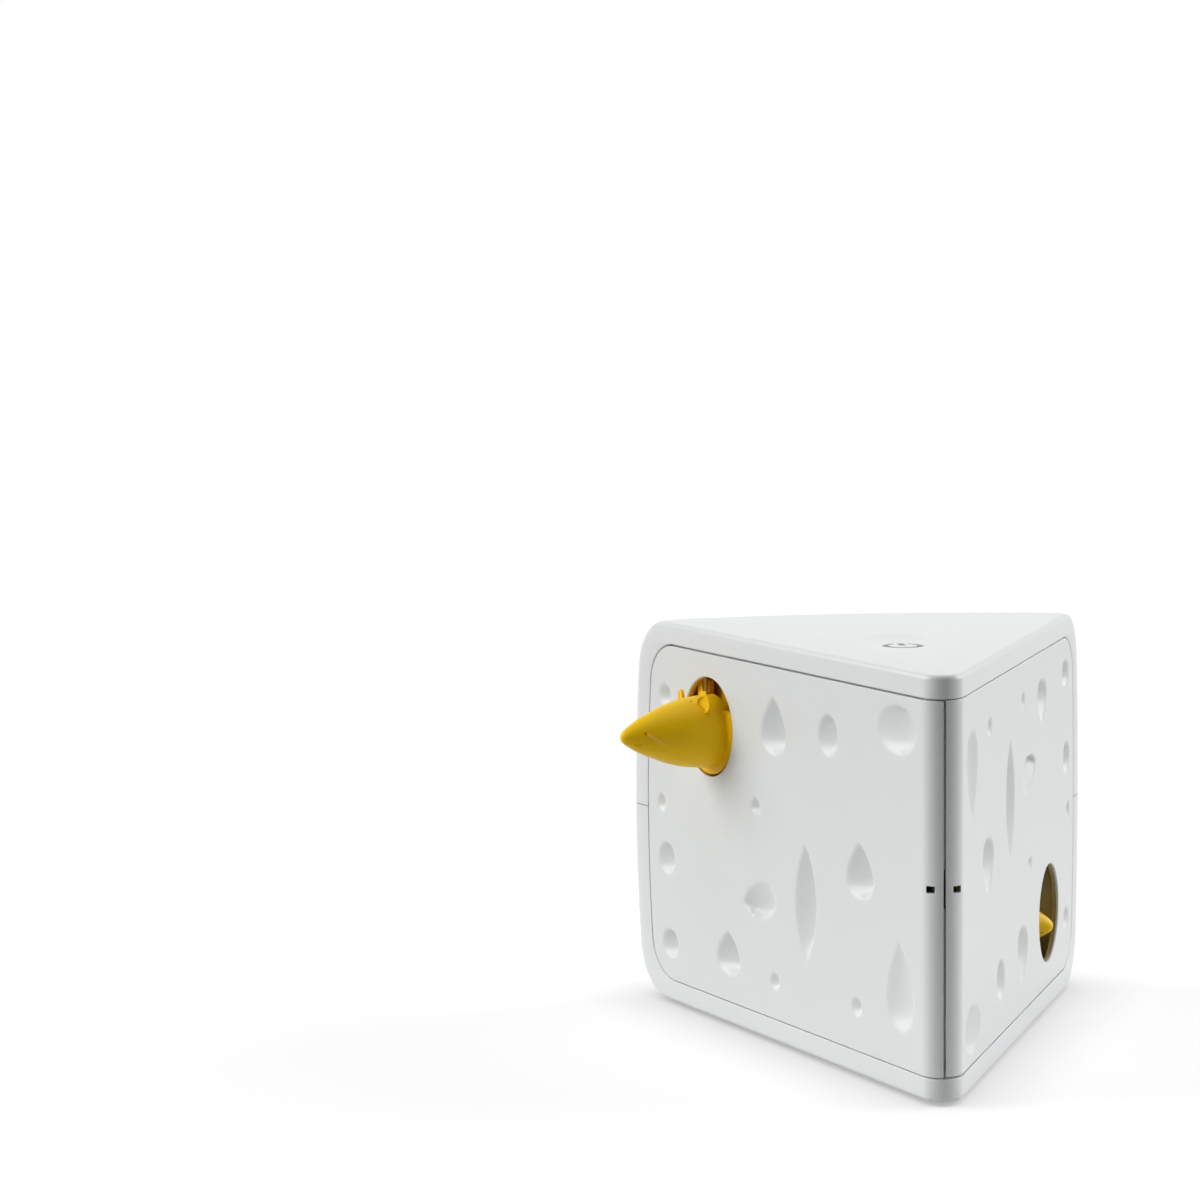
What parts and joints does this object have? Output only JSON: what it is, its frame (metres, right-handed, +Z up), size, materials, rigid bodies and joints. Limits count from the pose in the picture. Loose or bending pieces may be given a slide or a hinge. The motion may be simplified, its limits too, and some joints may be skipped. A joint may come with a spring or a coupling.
{
  "type": "cat toy",
  "caption": "Wedge-shaped battery cat toy: dimpled side panels with round holes, through which toy mice on a motor-driven swing frame peek out and in; power button on top, battery door below.",
  "frame": {"origin": "on the ground, at the middle of the front foot's underside", "axes": "+Z up, +Y from the narrow nose to the broad back, X across the wedge"},
  "size_m": [0.2042, 0.2381, 0.1627],
  "materials": {
    "casing_white": "smooth white plastic with a soft shine",
    "mouse_yellow": "saturated yellow plastic, half gloss",
    "guard_yellow": "dull yellow-brown plastic seen in shade",
    "black_plastic": "near-black plastic",
    "button_grey": "white plastic with a printed grey mark",
    "frame_grey": "grey moulded plastic",
    "foot_rubber": "dark grey rubber",
    "steel": "bright steel",
    "brass": "sintered bronze-brown metal",
    "board_green": "green circuit board laminate",
    "cell_jacket": "plain dark cell jacket",
    "gear_nylon": "off-white nylon"
  },
  "bodies": {
    "casing": {"upper_shell": "casing_white", "lower_shell": "casing_white", "left_panel": "casing_white", "right_panel": "casing_white", "front_clip": "black_plastic", "button_switch": "black_plastic", "battery_tray": "black_plastic", "upper_guard": "guard_yellow", "lower_guard": "guard_yellow", "spindle": "steel", "gear_pin": "steel", "motor": "steel", "door_hinge_pin": "steel", "board_screw_1": "steel", "board_screw_2": "steel", "case_screw_1": "steel", "case_screw_2": "steel", "case_screw_3": "steel", "contact_left": "steel", "contact_right": "steel", "upper_bush": "brass", "lower_bush": "brass", "gear_frame": "frame_grey", "button_boot": "foot_rubber", "control_board": "board_green", "cell_1": "cell_jacket", "cell_2": "cell_jacket", "cell_3": "cell_jacket", "front_foot": "foot_rubber", "left_foot": "foot_rubber", "right_foot": "foot_rubber"},
    "swing_frame": {"swing_hub": "gear_nylon", "upper_arm": "mouse_yellow", "lower_arm": "mouse_yellow", "upper_arm_screw": "steel", "lower_arm_screw": "steel", "upper_pivot_rod": "steel", "lower_pivot_rod": "steel"},
    "upper_toy_mouse": {"upper_mouse": "mouse_yellow"},
    "lower_toy_mouse": {"lower_mouse": "mouse_yellow"},
    "reduction_gear": {"stepped_gear": "gear_nylon"},
    "motor_rotor": {"motor_pinion": "brass"},
    "button": {"power_button": "button_grey"},
    "door": {"battery_door": "casing_white", "door_screw": "steel"}
  },
  "joints": [
    {"name": "swing", "type": "hinge", "parent": "casing", "child": "swing_frame", "pos_m": [0, -0.004, 0.0822], "axis": [0, 0, 1], "range_deg": [-14.4, 0]},
    {"name": "upper_mouse_pivot", "type": "hinge", "parent": "swing_frame", "child": "upper_toy_mouse", "pos_m": [-0.07095, 0.14584, 0.1227], "axis": [0, 0, 1], "range_deg": [-6, 6]},
    {"name": "lower_mouse_pivot", "type": "hinge", "parent": "swing_frame", "child": "lower_toy_mouse", "pos_m": [0.03146, 0.15878, 0.0417], "axis": [0, 0, 1], "range_deg": [-6, 6]},
    {"name": "reduction_turn", "type": "hinge", "parent": "casing", "child": "reduction_gear", "pos_m": [0, 0.078, 0.0822], "axis": [0, 0, 1], "range_deg": [0, 154.4]},
    {"name": "motor_turn", "type": "hinge", "parent": "casing", "child": "motor_rotor", "pos_m": [-0.01379, 0.09179, 0.0687], "axis": [0, 0, 1], "range_deg": [-514.5, 0]},
    {"name": "button_press", "type": "slide", "parent": "casing", "child": "button", "axis": [0, 0, -1], "range_m": [0, 0.001], "stiffness_N_per_m": 900, "springref_m": -0.0006, "deforming": ["button_boot"]},
    {"name": "door_hinge", "type": "hinge", "parent": "casing", "child": "door", "pos_m": [-0.0295, 0.1721, 0.0037], "axis": [1, 0, 0], "range_deg": [0, 95]}
  ],
  "couplings": [
    {"joint": "reduction_turn", "follows": "swing", "ratio": -10.714},
    {"joint": "motor_turn", "follows": "swing", "ratio": 35.714}
  ]
}
